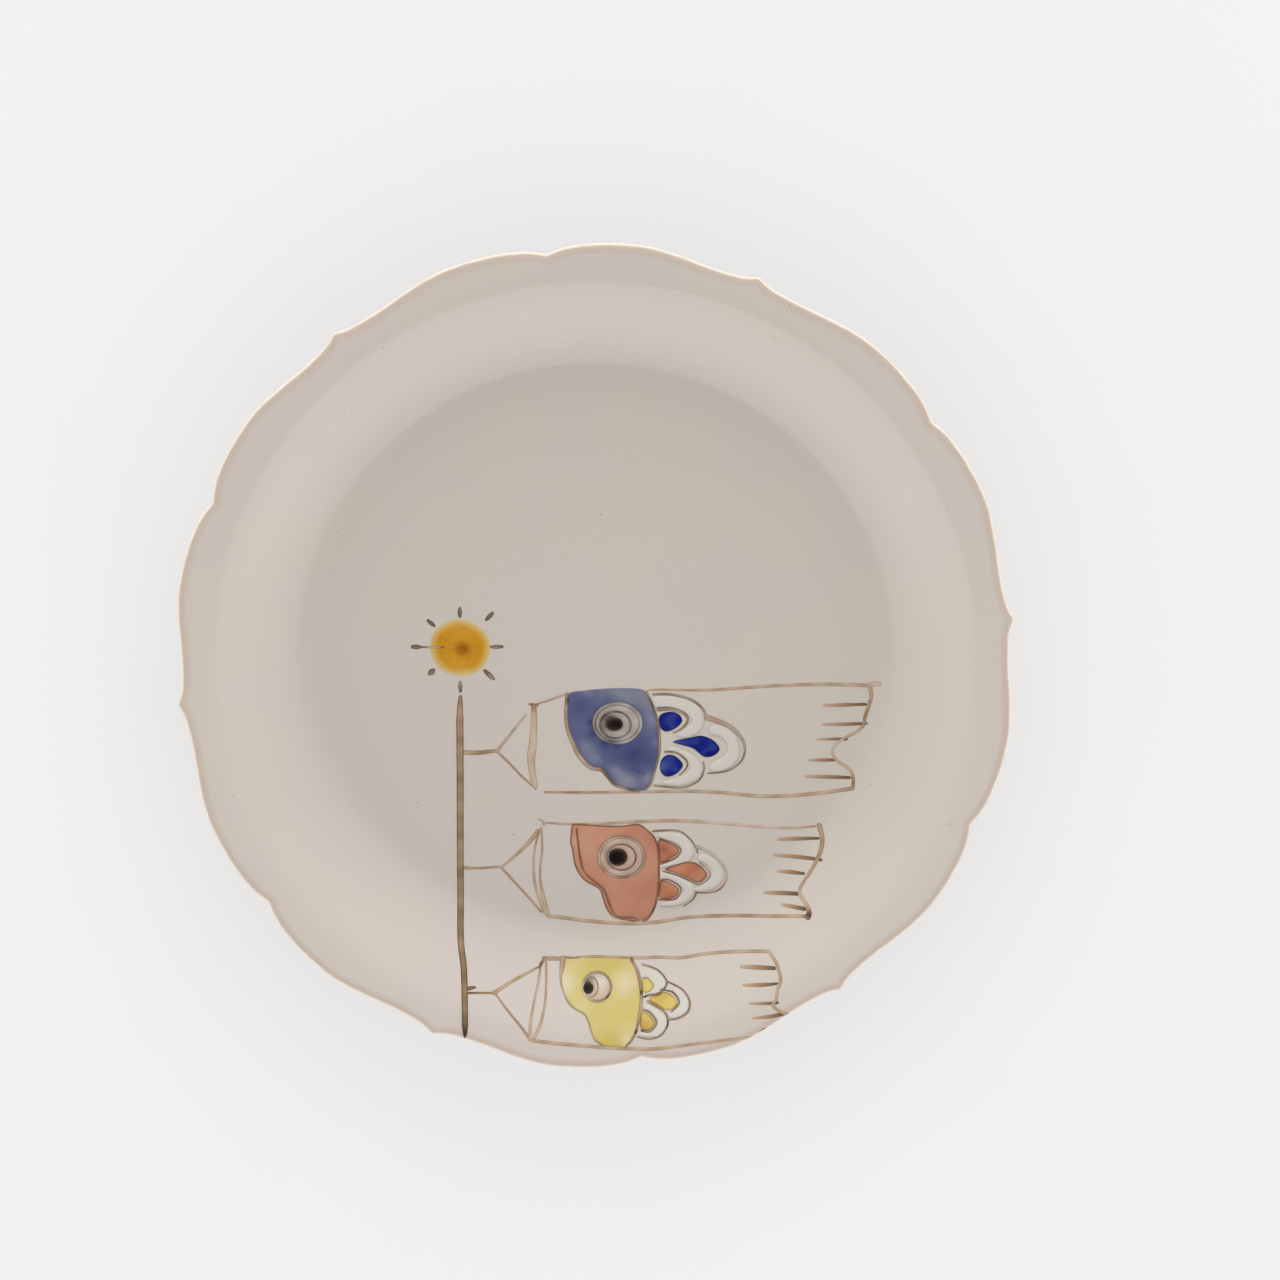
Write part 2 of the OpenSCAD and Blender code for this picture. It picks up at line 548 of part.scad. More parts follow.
module sun_ray_shape() {
    for (s = sun_ray_list) {
        out = [cos(s[1]), sin(s[1])];
        near = out * (s[0] - s[2] / 2 + s[3] / 4);
        far = out * (s[0] + s[2] / 2 - s[3] / 4);
        stroke([near, far], [0.65 * s[3], s[3], 0.65 * s[3]]);
    }
}

module sun_disc() {
    color([0.76, 0.55, 0.20]) coat(wash_t) translate(sun_at) difference() {
        circle(r = sun_r, $fn = 64);
        sun_core_shape();
        sun_ray_shape();
    }
}

module sun_core() {
    color([0.60, 0.38, 0.09]) coat(wash_t) translate(sun_at) sun_core_shape();
}

module sun_rays() {
    color(brush_grey) coat(line_t) translate(sun_at) sun_ray_shape();
}

// ---- The plate: one fired piece ----
foot_taper = 0.8;
foot_bevel = 0.6;
module porcelain_plate() {
    face = [for (r = face_radii) [r, face_z(r)]];
    under = [for (r = face_radii) if (r > foot_r) [r, face_z(r) - wall(r)]];
    ceiling_z = foot_depth;
    inner_r = foot_r - foot_wall;
    face_mid_r = foot_r - foot_wall / 2;
    foot = [
        [foot_r, face_z(foot_r) - wall(foot_r)],
        [foot_r - foot_taper, foot_bevel],
        [face_mid_r + foot_face / 2, 0],
        [face_mid_r - foot_face / 2, 0],
        [inner_r + foot_taper / 2, foot_bevel],
        [inner_r, ceiling_z],
        [0, ceiling_z]
    ];
    color(porcelain) intersection() {
        rotate_extrude($fn = 180) polygon(concat(face, backwards(under), foot));
        linear_extrude(height = above_all) polygon(rim_outline(0));
    }
}

porcelain_plate();
pole();
sun_disc();
sun_core();
sun_rays();
bridle(BLUE);  // blue_bridle
mouth_hoop(BLUE);  // blue_mouth_hoop
body_outline(BLUE);  // blue_body_outline
tail_slits(BLUE);  // blue_tail_slits
head(BLUE);  // blue_head
head_outline(BLUE);  // blue_head_outline
eye_rings(BLUE);  // blue_eye_rings
eye_white(BLUE);  // blue_eye_white
pupil(BLUE);  // blue_pupil
scales(BLUE);  // blue_scales
scale_borders(BLUE);  // blue_scale_borders
scale_outlines(BLUE);  // blue_scale_outlines
bridle(RED);  // red_bridle
mouth_hoop(RED);  // red_mouth_hoop
body_outline(RED);  // red_body_outline
tail_slits(RED);  // red_tail_slits
head(RED);  // red_head
head_outline(RED);  // red_head_outline
eye_rings(RED);  // red_eye_rings
eye_white(RED);  // red_eye_white
pupil(RED);  // red_pupil
scales(RED);  // red_scales
scale_borders(RED);  // red_scale_borders
scale_outlines(RED);  // red_scale_outlines
bridle(YELLOW);  // yellow_bridle
mouth_hoop(YELLOW);  // yellow_mouth_hoop
body_outline(YELLOW);  // yellow_body_outline
tail_slits(YELLOW);  // yellow_tail_slits
head(YELLOW);  // yellow_head
head_outline(YELLOW);  // yellow_head_outline
eye_rings(YELLOW);  // yellow_eye_rings
eye_white(YELLOW);  // yellow_eye_white
pupil(YELLOW);  // yellow_pupil
scales(YELLOW);  // yellow_scales
scale_borders(YELLOW);  // yellow_scale_borders
scale_outlines(YELLOW);  // yellow_scale_outlines
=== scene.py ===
"""The looks of a round porcelain plate painted with a pole, a sun and three carp streamers.

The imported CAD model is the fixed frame. The porcelain becomes one fine mesh with a rounded lip, and
each enamel deposit becomes a thin coat with a soft edge. A coat's "pigment" is 0 where the glaze
shows through, about a half in a thin wash and 1 where the enamel pooled.
Lengths in the script are millimetres, and MM turns them into Blender's metres.
"""

import math

import bmesh
import bpy
import numpy as np
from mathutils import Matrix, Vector, geometry, kdtree
from mathutils.bvhtree import BVHTree


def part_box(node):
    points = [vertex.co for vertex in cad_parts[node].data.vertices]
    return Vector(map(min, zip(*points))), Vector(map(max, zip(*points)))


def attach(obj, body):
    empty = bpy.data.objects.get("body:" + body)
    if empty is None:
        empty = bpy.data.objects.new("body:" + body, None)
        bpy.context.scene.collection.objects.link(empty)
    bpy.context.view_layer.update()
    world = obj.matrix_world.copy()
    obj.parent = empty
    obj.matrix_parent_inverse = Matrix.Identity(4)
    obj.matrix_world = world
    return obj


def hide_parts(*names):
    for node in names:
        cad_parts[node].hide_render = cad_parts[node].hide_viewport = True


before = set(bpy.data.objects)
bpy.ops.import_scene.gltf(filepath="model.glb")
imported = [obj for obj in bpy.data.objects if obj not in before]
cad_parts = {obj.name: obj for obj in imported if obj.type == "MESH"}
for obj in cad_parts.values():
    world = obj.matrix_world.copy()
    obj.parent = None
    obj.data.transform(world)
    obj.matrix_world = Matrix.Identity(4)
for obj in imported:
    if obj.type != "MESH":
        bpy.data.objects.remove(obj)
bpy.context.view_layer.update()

MM = 0.001
BODY = "root"
CARP = ("blue", "red", "yellow")


# ---- Camera: square to the plate's width, and tilted from its axis towards +Y ----
# Its distance from the height of the rim, and how far it aims to the right of and above the centre
VIEW_TILT = math.radians(12)
VIEW_DISTANCE = 1300
AIM_RIGHT = 11.25
AIM_UP = 6.6
LENS = 145.9
SENSOR_WIDTH = 36


def make_camera():
    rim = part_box("porcelain_plate")[1].z / MM
    up = Vector((0, math.cos(VIEW_TILT), -math.sin(VIEW_TILT)))
    back = Vector((0, math.sin(VIEW_TILT), math.cos(VIEW_TILT)))
    place = Vector((AIM_RIGHT, 0, rim)) + AIM_UP * up + VIEW_DISTANCE * back
    data = bpy.data.cameras.new("camera")
    data.lens = LENS
    data.sensor_width = SENSOR_WIDTH
    camera = bpy.data.objects.new("camera", data)
    camera.location = place * MM
    camera.rotation_euler = (-VIEW_TILT, 0, 0)
    bpy.context.scene.collection.objects.link(camera)
    bpy.context.scene.camera = camera


# ---- Colours ----
def rgb(red, green, blue):
    """A colour given as 0 to 255 in sRGB, as Blender's linear numbers."""
    parts = np.array([red, green, blue]) / 255
    linear = np.where(parts < 0.04, parts / 12.92, ((parts + 0.055) / 1.055) ** 2.4)
    return (*(float(c) for c in linear), 1.0)


GLAZE = rgb(194, 186, 177)
GLAZE_COOL = rgb(193, 185, 179)
GLAZE_WARM = rgb(192, 181, 168)
LIP_TAN = rgb(186, 170, 156)
# Painted highlight: the cream line along the very edge of the lip stands for the light that the rim catches
LIP_PAINTED_HIGHLIGHT = rgb(226, 216, 202)
BARE_CLAY = rgb(214, 203, 188)
BARE_CLAY_DARK = rgb(190, 176, 158)
IRON_SPECK = rgb(120, 92, 70)


# ---- Material building ----
class Nodes:
    """A material under construction, with short calls for the nodes that the materials here share."""

    def __init__(self, name, roughness, ior=1.5):
        self.material = bpy.data.materials.new(name)
        self.material.use_nodes = True
        self.tree = self.material.node_tree
        self.shader = self.tree.nodes["Principled BSDF"]
        self.shader.inputs["Roughness"].default_value = roughness
        self.shader.inputs["IOR"].default_value = ior
        self.place = self.tree.nodes.new("ShaderNodeTexCoord").outputs["Object"]

    def link(self, output, target):
        self.tree.links.new(output, target)

    def noise(self, size, detail=3.0, rough=0.5):
        """Noise from 0 to 1 whose features are about size millimetres across."""
        node = self.tree.nodes.new("ShaderNodeTexNoise")
        node.inputs["Scale"].default_value = 1 / (size * MM)
        node.inputs["Detail"].default_value = detail
        node.inputs["Roughness"].default_value = rough
        self.link(self.place, node.inputs["Vector"])
        return node.outputs["Fac"]

    def attribute(self, name):
        node = self.tree.nodes.new("ShaderNodeAttribute")
        node.attribute_name = name
        return node.outputs["Fac"]

    def math(self, operation, a, b, clamp=False):
        node = self.tree.nodes.new("ShaderNodeMath")
        node.operation = operation
        node.use_clamp = clamp
        for value, target in zip((a, b), node.inputs):
            if isinstance(value, (int, float)):
                target.default_value = value
            else:
                self.link(value, target)
        return node.outputs[0]

    def between(self, value, low, high):
        """0 where value is low or less, 1 where it is high or more."""
        node = self.tree.nodes.new("ShaderNodeMapRange")
        node.inputs["From Min"].default_value = low
        node.inputs["From Max"].default_value = high
        self.link(value, node.inputs["Value"])
        return node.outputs["Result"]

    def mix(self, share, a, b):
        node = self.tree.nodes.new("ShaderNodeMix")
        node.data_type = "RGBA"
        self.link(share, node.inputs["Factor"])
        for value, target in zip((a, b), (node.inputs[6], node.inputs[7])):
            if isinstance(value, tuple):
                target.default_value = value
            else:
                self.link(value, target)
        return node.outputs[2]

    def ramp(self, value, stops):
        node = self.tree.nodes.new("ShaderNodeValToRGB")
        points = node.color_ramp.elements
        while len(points) < len(stops):
            points.new(0.5)
        for point, (position, colour) in zip(points, stops):
            point.position = position
            point.color = colour
        self.link(value, node.inputs["Fac"])
        return node.outputs["Color"]

    def bump(self, height, depth, strength=1.0):
        node = self.tree.nodes.new("ShaderNodeBump")
        node.inputs["Distance"].default_value = depth * MM
        node.inputs["Strength"].default_value = strength
        self.link(height, node.inputs["Height"])
        self.link(node.outputs["Normal"], self.shader.inputs["Normal"])

    def colour(self, output):
        self.link(output, self.shader.inputs["Base Color"])
        return self.material


def glaze_colour(m):
    """The glaze's own colour: warm and cool clouds with a fine mottle."""
    clouds = m.mix(m.between(m.noise(45, 2), 0.35, 0.65), GLAZE_COOL, GLAZE)
    return m.mix(m.between(m.noise(1.1, 4, 0.7), 0.55, 0.95), clouds, GLAZE_WARM)


def porcelain_material():
    m = Nodes("glazed_porcelain", 0.08)
    inset = m.math("ADD", m.attribute("inset"), m.math("MULTIPLY", m.noise(4, 3), 0.5))
    tone = m.mix(m.between(inset, 3.0, 0.9), glaze_colour(m), LIP_TAN)
    # The cream on the outermost edge is a painted highlight of light caught by the rim; the tan band inside
    # it is the thinner glaze
    tone = m.mix(m.between(inset, 0.9, 0.35), tone, LIP_PAINTED_HIGHLIGHT)
    specks = m.between(m.noise(0.9, 1), 0.82, 0.84)
    tone = m.mix(specks, tone, IRON_SPECK)
    bare = m.attribute("bare")
    tone = m.mix(bare, tone, m.mix(m.noise(0.5, 5, 0.8), BARE_CLAY, BARE_CLAY_DARK))
    m.link(m.math("MAXIMUM", m.math("MULTIPLY", bare, 0.7), 0.08), m.shader.inputs["Roughness"])
    m.bump(m.math("ADD", m.noise(2.2, 2), m.math("MULTIPLY", bare, m.noise(0.15, 3))), 0.02)
    return m.colour(tone)


def enamel_material(name, tones, other=None, roughness=0.14, grain=0.14):
    """Enamel over the glaze, coloured by how much pigment lies there.

    tones are its colours where it is thin, middling and thick. The "tone" attribute leads over to the
    other tones, for a wash mixed from two colours.
    """
    m = Nodes(name, roughness, 1.45)
    uneven = m.math("SUBTRACT", m.noise(0.8, 4, 0.65), 0.5)
    amount = m.math("ADD", m.attribute("pigment"), m.math("MULTIPLY", uneven, grain))
    places = (0.0, 0.3, 0.62, 1.0)
    colour = m.ramp(amount, list(zip(places, (GLAZE, *tones))))
    if other:
        share = m.math("ADD", m.attribute("tone"), m.math("MULTIPLY", uneven, 0.5), True)
        colour = m.mix(share, colour, m.ramp(amount, list(zip(places, (GLAZE, *other)))))
    m.bump(m.math("ADD", m.noise(1.5, 3), m.attribute("pigment")), 0.02)
    return m.colour(colour)


# ---- The porcelain's own shape, read from its CAD solid ----
# Points round each ring, and the angle of the first one, which is on a point of the rim
SEGMENTS = 720
FIRST_POINT = math.radians(6.5)
# Inside this radius the CAD's profile is the same all the way round
TURNED_WITHIN = 99.1
# The foot ring and the hollow in it lie below this height and inside this radius
FOOT_BELOW = 8
FOOT_WITHIN = 70
# Height of the foot ring's unglazed edge, and a radius that is inside the ring
BARE_BELOW = 0.9
BARE_FROM = 50
# How far in from the rim the lip is rounded, and the radius where the rings start to follow the lobes
LIP_REACH = 1.9
LOBES_FROM = 86


def grouped(r, z, pick):
    """Corner points of the turned profile, as radius and height, one for each radius."""
    radii = np.unique(np.round(r, 1))
    return radii, np.array([pick(z[np.abs(r - q) < 0.06]) for q in radii])


def evened(r, z, spacing, rounds):
    """The same line with points at even spacing and its corners softened."""
    along = np.concatenate([[0], np.cumsum(np.hypot(np.diff(r), np.diff(z)))])
    even = np.linspace(0, along[-1], int(along[-1] / spacing) + 1)
    line = np.stack([np.interp(even, along, r), np.interp(even, along, z)])
    for _ in range(rounds):
        line[:, 1:-1] += 0.25 * (line[:, :-2] - 2 * line[:, 1:-1] + line[:, 2:])
    return line


class Profile:
    """Heights of the plate's face and underside, and the radius of its lobed rim, from the CAD mesh."""

    def __init__(self, node):
        points = np.array([v.co for v in node.data.vertices]) / MM
        r = np.hypot(points[:, 0], points[:, 1])
        z = points[:, 2]
        top = z.argmax()
        edge = np.abs(r - r[top]) < 0.05
        self.edge_r = r[top]
        self.edge_top = z[top]
        self.edge_under = z[edge].min()
        foot_r = r[(z < FOOT_BELOW) & (r < FOOT_WITHIN)].max()
        turned = r < TURNED_WITHIN
        face = turned & ((z > FOOT_BELOW) | (r >= foot_r + 0.1))
        face_r, face_z = grouped(r[face], z[face], np.max)
        self.face_line = evened(np.append(face_r, self.edge_r), np.append(face_z, self.edge_top), 0.5, 12)
        inner = (z < FOOT_BELOW) & (r <= foot_r)
        outer = turned & (r > foot_r + 0.1)
        inner_r, inner_z = grouped(r[inner], z[inner], np.min)
        outer_r, outer_z = grouped(r[outer], z[outer], np.min)
        self.foot_r = foot_r
        self.under_r = np.concatenate([inner_r, outer_r, [self.edge_r]])
        self.under_z = np.concatenate([inner_z, outer_z, [self.edge_under]])
        self.tree = BVHTree.FromPolygons(
            [v.co for v in node.data.vertices], [tuple(p.vertices) for p in node.data.polygons]
        )
        self.angles = FIRST_POINT + np.linspace(0, 2 * math.pi, SEGMENTS, endpoint=False)
        self.rim = np.array([self.rim_from_outside(a) for a in self.angles])
        self.rim += 0.2 * (np.roll(self.rim, 1) - 2 * self.rim + np.roll(self.rim, -1))

    def rim_from_outside(self, angle):
        out = Vector((math.cos(angle), math.sin(angle), 0))
        height = (self.edge_top + self.edge_under) / 2
        start = out * 2 * self.edge_r * MM + Vector((0, 0, height * MM))
        return math.hypot(*self.tree.ray_cast(start, -out)[0][:2]) / MM

    def rim_at(self, angle):
        return np.interp(angle % (2 * math.pi), self.angles, self.rim, period=2 * math.pi)

    def rounding(self, inset):
        """How far the lip's round drops below the face at a distance inset from the rim."""
        share = 1 - np.clip(inset / LIP_REACH, 0, 1)
        return (self.edge_top - self.edge_under) / 2 * (1 - np.sqrt(1 - share**2))

    def face(self, r, inset):
        return np.interp(r, *self.face_line) - self.rounding(inset)

    def underside(self, r, inset):
        return np.interp(r, self.under_r, self.under_z) + self.rounding(inset)


def lobed(profile, nominal):
    """Radii of one ring round the plate: round in the middle, and following the lobes at the rim."""
    share = np.clip((nominal - LOBES_FROM) / (profile.edge_r - LIP_REACH - LOBES_FROM), 0, 1)
    return nominal + share * share * (3 - 2 * share) * (profile.rim - profile.edge_r)


def plate_rings(profile):
    """Each ring's radii and heights, from the middle of the face over the lip to the underside's.

    The rings are close together where the profile bends: up the side, round the lip and on the foot.
    """
    last = profile.edge_r - LIP_REACH
    face = [*np.arange(3, 66, 4), *np.arange(67, 99, 1.0), *np.linspace(99, last, 7)]
    turn = np.linspace(0, math.pi / 2, 8)[1:]
    rings = []
    for nominal in face:
        r = lobed(profile, nominal)
        rings.append((r, profile.face(r, profile.rim - r)))
    for angle in turn:
        r = profile.rim - LIP_REACH * (1 - math.sin(angle))
        rings.append((r, profile.face(r, profile.rim - r)))
    for angle in turn[-2::-1]:
        r = profile.rim - LIP_REACH * (1 - math.sin(angle))
        rings.append((r, profile.underside(r, profile.rim - r)))
    for nominal in np.linspace(last, 70, 22):
        r = lobed(profile, nominal)
        rings.append((r, profile.underside(r, profile.rim - r)))
    foot = profile.under_r <= 68.5
    foot_line = evened(profile.under_r[foot], profile.under_z[foot], 0.5, 2)
    keep = [i for i, q in enumerate(foot_line[0]) if q > 55 or i % 8 == 0]
    for i in keep[:0:-1]:
        ring_r, ring_z = foot_line[:, i]
        rings.append((np.full(SEGMENTS, ring_r), np.full(SEGMENTS, ring_z)))
    return rings


def ring_surface(name, rings, angles, middle_top, middle_under):
    """One closed mesh through the rings, with a fan to a middle point at each end."""
    turn = np.stack([np.cos(angles), np.sin(angles)], 1)
    points = [np.array([[0, 0, middle_top]])]
    for r, z in rings:
        points.append(np.column_stack([turn * r[:, None], z]))
    points.append(np.array([[0, 0, middle_under]]))
    points = np.concatenate(points)
    n = len(angles)
    last = len(points) - 1
    here = np.arange(n)
    then = (here + 1) % n
    faces = [(0, 1 + a, 1 + b) for a, b in zip(here, then)]
    for k in range(len(rings) - 1):
        a = 1 + k * n
        b = a + n
        faces += [(a + i, b + i, b + j, a + j) for i, j in zip(here, then)]
    a = 1 + (len(rings) - 1) * n
    faces += [(last, a + j, a + i) for i, j in zip(here, then)]
    mesh = bpy.data.meshes.new(name)
    mesh.from_pydata(points * MM, [], faces)
    mesh.shade_smooth()
    return mesh, points


def set_attribute(mesh, name, values):
    layer = mesh.attributes.new(name, "FLOAT", "POINT")
    layer.data.foreach_set("value", np.asarray(values, np.float32))


def add_piece(name, mesh, material, slot, *nodes):
    piece = bpy.data.objects.new(name, mesh)
    bpy.context.scene.collection.objects.link(piece)
    mesh.materials.append(material)
    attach(piece, BODY)
    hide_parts(*nodes)
    return piece


def make_plate(profile):
    rings = plate_rings(profile)
    middle = float(profile.face(np.array([0.0]), np.array([99.0]))[0])
    mesh, points = ring_surface("plate", rings, profile.angles, middle, profile.under_z[0])
    r = np.hypot(points[:, 0], points[:, 1])
    inset = profile.rim_at(np.arctan2(points[:, 1], points[:, 0])) - r
    set_attribute(mesh, "inset", np.clip(inset, 0, 9))
    foot = (points[:, 2] < BARE_BELOW) & (r > BARE_FROM)
    set_attribute(mesh, "bare", foot.astype(float))
    add_piece("plate", mesh, porcelain_material(), "porcelain", "porcelain_plate")


# ---- Enamel coats ----
# Spacing of points along a coat's edge, depths of the rows beside it, and spacing further in
EDGE_SPACING = 0.16
ROWS = (0.1, 0.26, 0.48)
FILL_SPACING = 0.42
# How far a coat's underside is sunk into the glaze
SIDE_DROP = 0.04
# Loops with a smaller area than this are left out
SPECK = 0.02


def area(loop):
    x, y = loop.T
    return 0.5 * (x * np.roll(y, -1) - y * np.roll(x, -1)).sum()


def outlines(node):
    """The edge of a CAD coat's upper surface, as closed loops in the plate's plane."""
    bm = bmesh.new()
    bm.from_mesh(node.data)
    bmesh.ops.remove_doubles(bm, verts=bm.verts, dist=0.0015 * MM)
    bm.normal_update()
    below = [f for f in bm.faces if f.normal.z < 0.4]
    bmesh.ops.delete(bm, geom=below, context="FACES")
    unused = {e for e in bm.edges if len(e.link_faces) == 1}
    loops = []
    while unused:
        edge = min(unused, key=lambda e: e.index)
        unused.discard(edge)
        start, corner = edge.verts
        loop = [start]
        while corner is not start:
            loop.append(corner)
            edge = next((e for e in corner.link_edges if e in unused), None)
            if edge is None:
                break
            unused.discard(edge)
            corner = edge.other_vert(corner)
        loops.append(np.array([v.co[:2] for v in loop]) / MM)
    bm.free()
    return [loop for loop in loops if abs(area(loop)) > SPECK]


def brushed(loop):
    """A loop with points at even spacing and its corners softened as a brush leaves them."""
    closed = np.vstack([loop, loop[:1]])
    along = np.concatenate([[0], np.cumsum(np.hypot(*np.diff(closed, axis=0).T))])
    count = max(8, int(along[-1] / EDGE_SPACING))
    even = np.linspace(0, along[-1], count, endpoint=False)
    line = np.column_stack([np.interp(even, along, closed[:, i]) for i in (0, 1)])
    for _ in range(3):
        line += 0.25 * (np.roll(line, 1, 0) - 2 * line + np.roll(line, -1, 0))
    return line


def inside(points, loops):
    """True for the points that lie in the area between the loops."""
    crossed = np.zeros(len(points), int)
    for loop in loops:
        x0, y0 = loop.T
        x1, y1 = np.roll(loop, -1, 0).T
        rise = np.where(y1 == y0, 1e-12, y1 - y0)
        for first in range(0, len(points), 2000):
            x, y = points[first:first + 2000].T[:, :, None]
            spans = (y0 > y) != (y1 > y)
            crossed[first:first + 2000] += (spans & (x < x0 + (y - y0) * (x1 - x0) / rise)).sum(1)
    return crossed % 2 == 1


def edge_distance(points, tree):
    return np.array([tree.find((x, y, 0))[2] for x, y in points])


def edge_tree(loops):
    """A search tree of points on the loops, half a spacing apart."""
    edge = np.vstack([np.vstack([p, (p + np.roll(p, -1, 0)) / 2]) for p in loops])
    tree = kdtree.KDTree(len(edge))
    for i, (x, y) in enumerate(edge):
        tree.insert((x, y, 0), i)
    tree.balance()
    return tree


def inner_points(loops, tree):
    """Rows of points just inside the edge, and an even fill further in."""
    found = []
    for loop in loops:
        along = np.roll(loop, -1, 0) - np.roll(loop, 1, 0)
        along /= np.maximum(np.hypot(*along.T)[:, None], 1e-9)
        sideways = np.column_stack([-along[:, 1], along[:, 0]])
        probe = loop[:: max(1, len(loop) // 9)] + 0.02 * sideways[:: max(1, len(loop) // 9)]
        if inside(probe, loops).mean() < 0.5:
            sideways = -sideways
        for k, depth in enumerate(ROWS):
            row = (loop + depth * sideways)[:: k + 1]
            row = row[edge_distance(row, tree) > 0.88 * depth]
            found.append(row[inside(row, loops)])
    low = np.vstack(loops).min(0)
    high = np.vstack(loops).max(0)
    narrow = np.vstack(found)
    if (edge_distance(narrow, tree) > 0.9 * ROWS[-1]).sum() > 8:
        x = np.arange(low[0], high[0], FILL_SPACING)
        y = np.arange(low[1], high[1], FILL_SPACING * 0.866)
        grid = np.array([(p + (j % 2) * FILL_SPACING / 2, q) for j, q in enumerate(y) for p in x])
        deep = edge_distance(grid, tree) > ROWS[-1] + 0.7 * FILL_SPACING
        grid = grid[deep]
        found.append(grid[inside(grid, loops)])
    return np.vstack(found)


def filled(loops):
    """Corner points and triangles that fill the area between the loops."""
    tree = edge_tree(loops)
    edge = np.vstack(loops)
    seams = []
    first = 0
    for loop in loops:
        n = len(loop)
        seams += [(first + i, first + (i + 1) % n) for i in range(n)]
        first += n
    corners = np.vstack([edge, inner_points(loops, tree)])
    made = geometry.delaunay_2d_cdt([Vector(p) for p in corners], seams, [], 0, 1e-7)
    corners = np.array([tuple(p) for p in made[0]])
    triangles = np.array([f for f in made[2] if len(f) == 3])
    far = edge_distance(corners, tree)
    sure = (far[triangles] > 0.5 * ROWS[0]).any(1)
    middles = corners[triangles].mean(1)
    sure[~sure] = inside(middles[~sure], loops)
    return corners, triangles[sure], far


def coat_mesh(name, profile, corners, triangles, height):
    """A closed thin solid on the face: its top at a height, the same triangles below and a wall between."""
    r = np.hypot(*corners.T)
    inset = profile.rim_at(np.arctan2(corners[:, 1], corners[:, 0])) - r
    floor = profile.face(r, inset)
    top = np.column_stack([corners, floor + height])
    under = np.column_stack([corners, floor - SIDE_DROP])
    n = len(corners)
    sides = {}
    for a, b, c in triangles:
        for p, q in ((a, b), (b, c), (c, a)):
            if (q, p) in sides:
                del sides[(q, p)]
            else:
                sides[(p, q)] = True
    faces = [tuple(t) for t in triangles]
    faces += [(c + n, b + n, a + n) for a, b, c in triangles]
    faces += [(q, p, p + n, q + n) for p, q in sides]
    mesh = bpy.data.meshes.new(name)
    mesh.from_pydata(np.vstack([top, under]) * MM, [], faces)
    mesh.update()
    bm = bmesh.new()
    bm.from_mesh(mesh)
    bmesh.ops.delete(bm, geom=[v for v in bm.verts if not v.link_faces], context="VERTS")
    bm.to_mesh(mesh)
    bm.free()
    mesh.shade_smooth()
    return mesh


def spots(points, middle, accents):
    """The pigment that a list of round accents adds or takes away: x, y, radius and amount."""
    total = np.zeros(len(points))
    for x, y, radius, amount in accents:
        away = np.hypot(points[:, 0] - middle[0] - x, points[:, 1] - middle[1] - y)
        total += amount * np.exp(-((away / radius) ** 2))
    return total


def middle_of(node):
    low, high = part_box(node)
    return ((low + high) / 2).to_2d() / MM


def domed(far, soft):
    """The share of its full thickness that a coat has at a distance from its edge."""
    share = np.clip(far / soft, 0, 1)
    return np.sqrt(1 - (1 - share) ** 2)


def make_coat(profile, node, material, slot, thickness, paint, shape=None):
    """The coat that stands for a CAD node. paint gives pigment and tone from places and edge distance."""
    loops = [brushed(loop) for loop in outlines(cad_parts[node])]
    corners, triangles, far = filled(loops)
    height = shape(corners, far) if shape else domed(far, SOFT[thickness])
    mesh = coat_mesh(node + "_coat", profile, corners, triangles, thickness * height)
    points = np.array([v.co[:2] for v in mesh.vertices]) / MM
    pigment, tone = paint(points, edge_distance(points, edge_tree(loops)))
    set_attribute(mesh, "pigment", np.clip(pigment, 0, 1))
    set_attribute(mesh, "tone", np.clip(tone, 0, 1))
    add_piece(node + "_coat", mesh, material, slot, node)


# ---- Brush marks ----
# Thickness of each kind of coat, and how far in from its edge it reaches that thickness
LINE_T = 0.12
WASH_T = 0.22
RELIEF_T = 0.45
SOFT = {LINE_T: 0.3, WASH_T: 0.6, RELIEF_T: 0.6}


def painted(base, edge, reach, tone=0.0, drift=0.0, middle=(0, 0), pools=(), tints=(), sway=0.08):
    """Paint that is base in the middle and gathers by edge within reach of the coat's outline.

    pools add pigment and tints add tone, each as x, y, radius and amount from the given middle. drift is
    how much the tone wanders along a stroke, and sway how much the pigment does.
    """
    def paint(points, far):
        x, y = points.T
        wander = np.sin(x * 0.83 + 1.7 * np.sin(y * 0.61))
        turn = np.sin(x * 0.31 + 2.1 * np.sin(y * 0.27 + 1))
        pigment = base + sway * wander + edge * np.exp(-((far / reach) ** 2))
        return pigment + spots(points, middle, pools), tone + drift * turn + spots(points, middle, tints)
    return paint


# Each enamel's colour where it is thin, middling and thick
GREY_BROWN = (rgb(172, 158, 141), rgb(122, 105, 87), rgb(62, 51, 42))
OCHRE = (rgb(183, 164, 140), rgb(150, 124, 92), rgb(84, 64, 44))
PINK_BROWN = (rgb(184, 160, 143), rgb(154, 124, 102), rgb(86, 62, 48))
RED_BROWN = (rgb(174, 132, 112), rgb(136, 88, 66), rgb(84, 50, 38))
OLIVE = (rgb(178, 165, 135), rgb(140, 124, 92), rgb(72, 60, 44))
HEAD_LINES = {
    "blue": (GREY_BROWN, PINK_BROWN),
    "red": (RED_BROWN, GREY_BROWN),
    "yellow": (OLIVE, PINK_BROWN),
}
HEADS = {
    "blue": (
        (rgb(143, 145, 157), rgb(84, 89, 125), rgb(46, 54, 98)),
        (rgb(160, 160, 162), rgb(127, 128, 138), rgb(84, 88, 104)),
    ),
    "red": (
        (rgb(194, 154, 134), rgb(181, 127, 104), rgb(158, 96, 72)),
        (rgb(196, 162, 138), rgb(190, 145, 118), rgb(172, 112, 82)),
    ),
    "yellow": (
        (rgb(199, 187, 144), rgb(192, 176, 104), rgb(182, 163, 78)),
        (rgb(201, 190, 170), rgb(206, 195, 164), rgb(200, 186, 124)),
    ),
}
